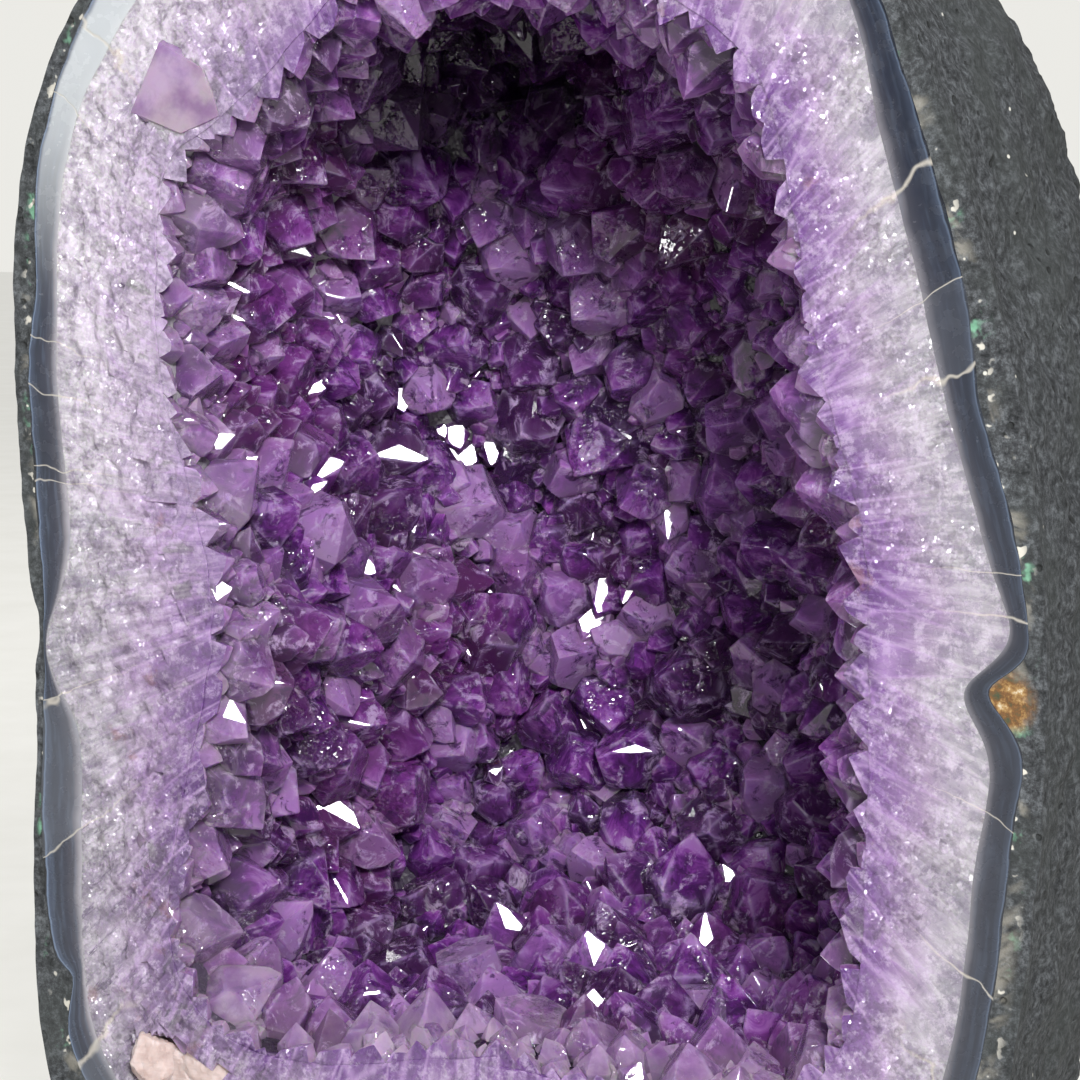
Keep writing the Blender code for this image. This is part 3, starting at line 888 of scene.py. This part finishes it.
def crystal_shape(dice):
    """A quartz point of radius 1 along +Z: its prism, three large end faces and three small.

    Returns its points, its faces, and 1 for each point on an edge and 0 for each inside a face.
    """
    mesh = bmesh.new()
    bmesh.ops.create_cone(mesh, segments=6, radius1=1.6, radius2=1.6, depth=6, cap_ends=True,
                          cap_tris=False)
    bmesh.ops.translate(mesh, verts=mesh.verts, vec=(0, 0, 1.6))
    planes = []
    for k in range(6):
        turn = math.tau * k / 6 + math.radians(dice.uniform(-2, 2))
        away = 0.866 * dice.uniform(0.82, 1.08)
        normal = Vector((math.cos(turn), math.sin(turn), dice.uniform(-0.02, 0.07)))
        planes.append((normal * away, normal))
        slope = math.radians(QUARTZ_SLOPE + dice.uniform(-2.5, 2.5))
        end_normal = Vector((math.cos(turn) * math.sin(slope), math.sin(turn) * math.sin(slope),
                             math.cos(slope)))
        rise = dice.uniform(-0.07, 0.07) if k % 2 == 0 else dice.uniform(0.04, 0.26)
        planes.append((end_normal * (0.66 + rise), end_normal))
    for place, normal in planes:
        cut_away(mesh, place, normal)
    bmesh.ops.remove_doubles(mesh, verts=mesh.verts, dist=0.004)
    bmesh.ops.recalc_face_normals(mesh, faces=mesh.faces)
    tops = [edge for edge in mesh.edges if max(v.co.z for v in edge.verts) > -1.0]
    bmesh.ops.bevel(mesh, geom=tops, offset=CRYSTAL_BEVEL, offset_type="OFFSET", segments=1,
                    profile=0.6, affect="EDGES", clamp_overlap=True)
    wide = [face for face in mesh.faces if face.calc_area() > 0.06 and face.normal.z > -0.5]
    before = set(mesh.verts)
    bmesh.ops.poke(mesh, faces=wide, center_mode="MEAN_WEIGHTED", offset=0.010)
    mesh.verts.index_update()
    points = np.array([vert.co for vert in mesh.verts])
    edge = np.array([1.0 if vert in before else 0.0 for vert in mesh.verts])
    faces = [[vert.index for vert in face.verts] for face in mesh.faces]
    mesh.free()
    order, faces = in_order(points, faces)
    return points[order], faces, edge[order]


SHAPE_DICE = random.Random(5)
SHAPES = [crystal_shape(SHAPE_DICE) for _ in range(40)]


class Point:
    """One crystal: where its prism ends, which way it points and how big it is."""

    def __init__(self, foot, axis, radius, dice, roll=None):
        self.foot = Vector(foot)
        self.axis = Vector(axis).normalized()
        self.radius = radius
        self.roll = dice.uniform(0, math.tau) if roll is None else roll
        self.shape = dice.randrange(len(SHAPES))
        self.tone = dice.random()
        self.seed = dice.random()
        self.stretch = dice.uniform(0.92, 1.15)
        self.oval = dice.uniform(0.82, 1.0)
        # Each is cut a little apart, so that no two cuts lie in one plane
        self.cut_y = SAWN_Y + CUTS_APART * self.seed

    def turn(self):
        spin = Matrix.Rotation(self.roll, 3, "Z")
        return np.array(self.axis.to_track_quat("Z", "Y").to_matrix() @ spin)

    def top(self):
        return SHAPES[self.shape][0][:, 2].max() * self.radius * self.stretch

    def paleness_painted_light_and_shade(self):
        """Crystals near the sawn face are paler, most of all along the sill and on the left, where
        the extra paleness is painted light.

        Below zero, they are darker: those in the hollow of the roof, as painted shade.
        """
        if self.radius == PALE_TOOTH_RADIUS:
            return 1.0
        apart = (self.foot - HOLLOW).length
        if apart < 1.5 * HOLLOW_SPREAD:
            return -math.exp(-(apart / (1.35 * HOLLOW_SPREAD)) ** 6)
        behind = (self.foot.y - FACE_Y) / (28 * MM)
        near = max(0.0, 1 - behind)
        low = max(0.0, 1 - (self.foot.z - 42 * MM) / (24 * MM))
        left = max(0.0, (CENTRE.x - 48 * MM - self.foot.x) / (30 * MM))
        varied = 0.4 + 1.1 * self.tone
        return min(1.0, 0.05 + near * varied * min(1.0, 0.25 + 1.3 * low + 0.5 * left))

    def zone(self):
        if self.axis.y < -0.55:
            return "back_wall"
        if abs(self.axis.z) > abs(self.axis.x):
            return "floor" if self.axis.z > 0 else "roof"
        return "left_wall" if self.axis.x > 0 else "right_wall"


def parallel_growth(point, dice):
    """Smaller crystals grown against a large one, with their faces parallel to its own."""
    grown = []
    turn = Matrix(point.turn().tolist())
    for _ in range(dice.choice((1, 2, 2, 3))):
        radius = point.radius * dice.uniform(0.35, 0.62)
        around = dice.uniform(0, math.tau)
        away = point.radius * dice.uniform(0.55, 0.85)
        side = turn @ Vector((math.cos(around) * away, math.sin(around) * away, 0))
        lift = point.axis * point.radius * dice.uniform(-0.25, 0.15)
        lean = scatter(dice) * 0.04
        twin = Point(point.foot + side + lift, point.axis + lean, radius, dice, roll=point.roll)
        twin.tone = point.tone + dice.uniform(-0.15, 0.15)
        grown.append(twin)
    return grown


def direction(azimuth, elevation):
    """Towards a lamp or the camera. Azimuth 0 is straight out of the sawn face."""
    a, e = math.radians(azimuth), math.radians(elevation)
    return Vector((math.sin(a) * math.cos(e), -math.cos(a) * math.cos(e), math.sin(e)))


def face_the_lamp(point, normal):
    """Turns a crystal so that one end face mirrors the key lamp, unless it would lean too far."""
    mirror = (direction(*KEY_PLACE) + direction(CAMERA_AZIMUTH, CAMERA_ELEVATION)).normalized()
    slope = math.radians(QUARTZ_SLOPE)
    side = (normal - mirror * normal.dot(mirror)).normalized()
    axis = mirror * math.cos(slope) + side * math.sin(slope)
    if axis.angle(normal) > GLINT_LEAN:
        return
    local = axis.to_track_quat("Z", "Y").inverted() @ mirror
    point.axis, point.stretch, point.roll = axis, 1.0, math.atan2(local.y, local.x)


def crystal_arrays(point):
    """A crystal's points, faces and marks, cut flush where it would pass the sawn face."""
    shape, faces, edge = SHAPES[point.shape]
    local = shape * point.radius
    local[:, 2] *= point.stretch
    local[:, 1] *= point.oval
    world = local @ point.turn().T + np.array(point.foot)
    home = local + np.array([point.seed * 0.31, point.tone * 0.47, point.seed * 0.13])
    height = np.clip(local[:, 2] / local[:, 2].max(), -0.6, 1)
    count = len(local)
    mood = np.stack([height, np.full(count, point.tone), np.full(count, point.paleness_painted_light_and_shade())], 1)
    marks = np.concatenate([home, mood, edge[:, None]], 1)
    if world[:, 1].min() > point.cut_y:
        return world, faces, marks, [0] * len(faces)
    if world[:, 1].max() < point.cut_y + 0.5 * MM:
        return None
    return sawn_flush(world, faces, marks, point.cut_y)


def sawn_flush(world, faces, marks, cut_y):
    """Cuts a crystal at the sawn face. The cut is finished like the quartz round it."""
    mesh = bmesh.new()
    layers = [mesh.verts.layers.float.new(f"mark_{k}") for k in range(marks.shape[1])]
    made = []
    for co, values in zip(world, marks):
        vert = mesh.verts.new(co)
        for layer, value in zip(layers, values):
            vert[layer] = value
        made.append(vert)
    for face in faces:
        mesh.faces.new([made[k] for k in face])
    cut_away(mesh, (0, cut_y, 0), (0, -1, 0))
    bmesh.ops.recalc_face_normals(mesh, faces=mesh.faces)
    mesh.verts.index_update()
    world = np.array([vert.co for vert in mesh.verts])
    marks = np.array([[vert[layer] for layer in layers] for vert in mesh.verts])
    faces = [[vert.index for vert in face.verts] for face in mesh.faces]
    flush = [
        int(cut_y >= SAWN_Y and all(abs(vert.co.y - cut_y) < 1e-6 for vert in face.verts))
        for face in mesh.faces
    ]
    mesh.free()
    return world, faces, marks, flush


def rim_marks_at(world):
    """The rim mark of loose points on the sawn face."""
    x, z = world[:, 0] - CENTRE.x, world[:, 2] - CENTRE.z
    angle = np.arctan2(x, z) % math.tau
    index = np.round(angle / math.tau * STEPS_ROUND).astype(int) % STEPS_ROUND
    width = QUARTZ_EDGE[index] - CAVITY_EDGE[index]
    across = CAVITY_ACROSS * (QUARTZ_EDGE[index] - np.hypot(x, z)) / width
    return np.stack([ROUND * np.sin(angle), ROUND * np.cos(angle), across], 1)


def crystal_piece(name, points, finishes):
    """One mesh from any number of crystals."""
    worlds, marks, flushes, all_faces, count = [], [], [], [], 0
    for point in points:
        built = crystal_arrays(point)
        if built is None:
            continue
        world, faces, mark, flush = built
        worlds.append(world)
        marks.append(mark)
        flushes += flush
        all_faces += [[k + count for k in face] for face in faces]
        count += len(world)
    world, marks = np.concatenate(worlds), np.concatenate(marks)
    mesh = bpy.data.meshes.new(name)
    mesh.from_pydata(world.tolist(), [], all_faces)
    set_mark(mesh, "home", marks[:, 0:3])
    set_mark(mesh, "mood", marks[:, 3:6])
    set_mark(mesh, "rim", rim_marks_at(world))
    set_mark(mesh, "edge", marks[:, 6])
    mesh.update()
    # The triangles of one facet share a number, taken from where the facet looks
    normals = np.zeros(len(all_faces) * 3, dtype=np.float32)
    mesh.polygons.foreach_get("normal", normals)
    normals = np.round(normals.reshape(-1, 3) * 6)
    facet = (np.sin(normals @ np.array([12.99, 78.23, 37.72])) * 43761.5) % 1.0
    set_mark(mesh, "facet", facet, "FACE")
    made = placed(name, mesh, finishes)
    mesh.polygons.foreach_set("material_index", flushes)
    return made


def cad_crystal(name, dice):
    """Reads where a CAD crystal stands: its tip is the corner that leaves a straight prism."""
    corners = np.array([vert.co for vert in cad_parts[name].data.vertices])
    corners = np.unique(np.round(corners, 6), axis=0)
    best = None
    for k, corner in enumerate(corners):
        others = np.delete(corners, k, axis=0)
        middle = others.mean(axis=0)
        axis = (corner - middle) / np.linalg.norm(corner - middle)
        offsets = others - middle
        across = np.linalg.norm(offsets - np.outer(offsets @ axis, axis), axis=1)
        if best is None or across.std() < best[0]:
            best = (across.std(), corner, axis, across.mean())
    _, tip, axis, radius = best
    point = Point(tip, axis, radius * 1.04, dice)
    point.foot = Vector(tip) - Vector(axis) * point.top()
    return point


def rim_crystals(dice):
    """The teeth of the sawn edge: crystals that lie in the face and point into the cavity."""
    grown = []
    place = 0.0
    while place < math.tau:
        index = int(place / math.tau * STEPS_ROUND) % STEPS_ROUND
        edge = CAVITY_EDGE[index]
        radius = dice.uniform(4.0, 6.8) * MM
        out = Vector((SIN[index], 0, COS[index]))
        sideways = Vector((COS[index], 0, -SIN[index]))
        foot = Vector((CENTRE.x, 0, CENTRE.z)) + out * (edge + dice.uniform(0.2, 2.6) * MM)
        foot.y = FACE_Y + radius * dice.uniform(-0.15, 0.55)
        axis = -out + sideways * dice.gauss(0, 0.16) + Vector((0, dice.uniform(-0.08, 0.25), 0))
        grown.append(Point(foot, axis, radius, dice))
        place += 1.25 * radius / edge
    grown.append(Point(PALE_TOOTH_FOOT, PALE_TOOTH_AXIS, PALE_TOOTH_RADIUS, dice))
    grown[-1].cut_y = FACE_Y - 0.15 * MM
    return grown


def druse(wall, seeds):
    """Fills the cavity's wall with crystals between the given ones, big ones first."""
    dice = random.Random(DRUSE_SEED)
    normals = -grid_normals(wall)
    span = np.linalg.norm(np.roll(wall, -1, axis=1) - wall, axis=2)
    weights = span[:-1].ravel()
    totals = np.cumsum(weights / weights.sum())
    cells = {}
    size = 14 * MM

    def cell_of(place):
        return tuple((np.array(place) // size).astype(int))

    def remember(place, radius):
        cells.setdefault(cell_of(place), []).append((Vector(place), radius))

    def crowded(place, radius, packing):
        x, y, z = cell_of(place)
        for i, j, k in itertools.product((-1, 0, 1), repeat=3):
            for other, wide in cells.get((x + i, y + j, z + k), ()):
                if (place - other).length < packing * (radius + wide):
                    return True
        return False

    for seed in seeds:
        remember(seed.foot, seed.radius)
    grown = []
    for low, high, packing, tries in (LARGE, MEDIUM, SMALL):
        for _ in range(tries):
            index = int(np.searchsorted(totals, dice.random()))
            ring, k = divmod(min(index, len(weights) - 1), STEPS_ROUND)
            place = Vector(wall[ring, k])
            radius = dice.uniform(low, high) * MM
            if crowded(place, radius, packing):
                continue
            remember(place, radius)
            lean = scatter(dice) * DRUSE_LEAN
            normal = Vector(normals[ring, k])
            foot = place + normal * radius * dice.uniform(-0.35, 0.40)
            point = Point(foot, normal + lean, radius, dice)
            patch = noise.noise(place / (13 * MM))
            point.tone = min(1.0, max(0.0, 0.7 * point.tone + 0.15 + 0.75 * patch))
            if radius > 3.6 * MM and dice.random() < GLINT_SHARE:
                face_the_lamp(point, normal)
            grown.append(point)
            if radius > 4 * MM and dice.random() < 0.55:
                grown += parallel_growth(point, dice)
    return grown


def make_crystals(wall, quartz):
    finishes = (amethyst_material(), quartz)
    dice = random.Random(3)
    seeds = []
    for name in sorted(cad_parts):
        if not name.startswith("amethyst_"):
            continue
        seed = cad_crystal(name, dice)
        seeds.append(seed)
        cluster = [seed] + parallel_growth(seed, dice)
        piece = crystal_piece(name.replace("amethyst", "crystal"), cluster, finishes)
        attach(piece, "root")
        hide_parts(name)
    teeth = rim_crystals(dice)
    piece = crystal_piece("druse_sawn_edge", teeth, finishes)
    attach(piece, "root")
    zones = {}
    for point in druse(wall, seeds + teeth):
        zones.setdefault(point.zone(), []).append(point)
    for zone, points in zones.items():
        piece = crystal_piece(f"druse_{zone}", points, finishes)
        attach(piece, "root")


def calcite_lump(name, finish, dice):
    """A broken lump in place of a CAD block: many flat breaks, a little worn."""
    low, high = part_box(name)
    middle, half = (low + high) / 2, (high - low) * 0.72
    breaks = []
    for _ in range(15):
        normal = scatter(dice).normalized()
        breaks.append((normal, dice.uniform(0.66, 0.98)))
    mesh = bmesh.new()
    bmesh.ops.create_icosphere(mesh, subdivisions=5, radius=1.0)
    shift = Vector((dice.uniform(0, 50), 0, 0))
    for vert in mesh.verts:
        out = vert.co.normalized()
        reach = min(away / max(out.dot(normal), 0.05) for normal, away in breaks)
        reach = min(reach, 1.15) * (1 + 0.07 * noise.fractal(out * 3 + shift, 0.8, 2.1, 4))
        vert.co = middle + Vector((out.x * half.x, out.y * half.y, out.z * half.z)) * reach
    data = bpy.data.meshes.new(name)
    mesh.to_mesh(data)
    mesh.free()
    return placed(name.replace("calcite_block", "calcite"), data, [finish], math.radians(20))


def make_calcite():
    finish = calcite_material()
    dice = random.Random(8)
    for name in sorted(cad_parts):
        if name.startswith("calcite_"):
            piece = calcite_lump(name, finish, dice)
            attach(piece, "root")
            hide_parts(name)


# ---------------------------------------------------------------- stage

def make_floor():
    mesh = bmesh.new()
    bmesh.ops.create_grid(mesh, x_segments=2, y_segments=2, size=6.0)
    data = bpy.data.meshes.new("floor")
    mesh.to_mesh(data)
    mesh.free()
    floor = placed("floor", data, [floor_material()])


def aimed(name, data, azimuth, elevation, distance):
    """Places a lamp or the camera. Azimuth 0 stands in front of the sawn face."""
    back = direction(azimuth, elevation)
    made = placed(name, data)
    made.location = AIM + back * distance
    made.rotation_euler = back.to_track_quat("Z", "Y").to_euler()
    return made


def make_lights():
    for name, azimuth, elevation, distance, size, power in LAMPS:
        lamp = bpy.data.lights.new(name, "AREA")
        lamp.shape = "DISK"
        lamp.size = size
        lamp.energy = power
        aimed(name, lamp, azimuth, elevation, distance)


def make_camera():
    data = bpy.data.cameras.new("camera")
    data.sensor_width = 36.0
    data.lens = data.sensor_width * CAMERA_DISTANCE / VIEW_WIDTH
    data.clip_start = 0.01
    bpy.context.scene.camera = aimed(
        "camera", data, CAMERA_AZIMUTH, CAMERA_ELEVATION, CAMERA_DISTANCE)


def make_world():
    world = bpy.data.worlds.new("studio")
    bpy.context.scene.world = world
    world.use_nodes = True
    nodes, links = world.node_tree.nodes, world.node_tree.links
    shown = nodes["Background"]
    lit = nodes.new("ShaderNodeBackground")
    for background, strength in ((shown, 0.95), (lit, 0.12)):
        background.inputs["Color"].default_value = (*rgb(STUDIO_WHITE), 1)
        background.inputs["Strength"].default_value = strength
    path = nodes.new("ShaderNodeLightPath")
    mix = nodes.new("ShaderNodeMixShader")
    links.new(path.outputs["Is Camera Ray"], mix.inputs[0])
    links.new(lit.outputs[0], mix.inputs[1])
    links.new(shown.outputs[0], mix.inputs[2])
    links.new(mix.outputs[0], nodes["World Output"].inputs["Surface"])


def main():
    wall = wall_grid()
    quartz = quartz_material()
    for piece in (make_rock(), make_agate(), make_quartz(wall, quartz)):
        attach(piece, "root")
    make_crystals(wall, quartz)
    make_calcite()
    make_floor()
    make_lights()
    make_world()
    make_camera()
    bpy.context.scene.view_settings.view_transform = "Standard"


main()
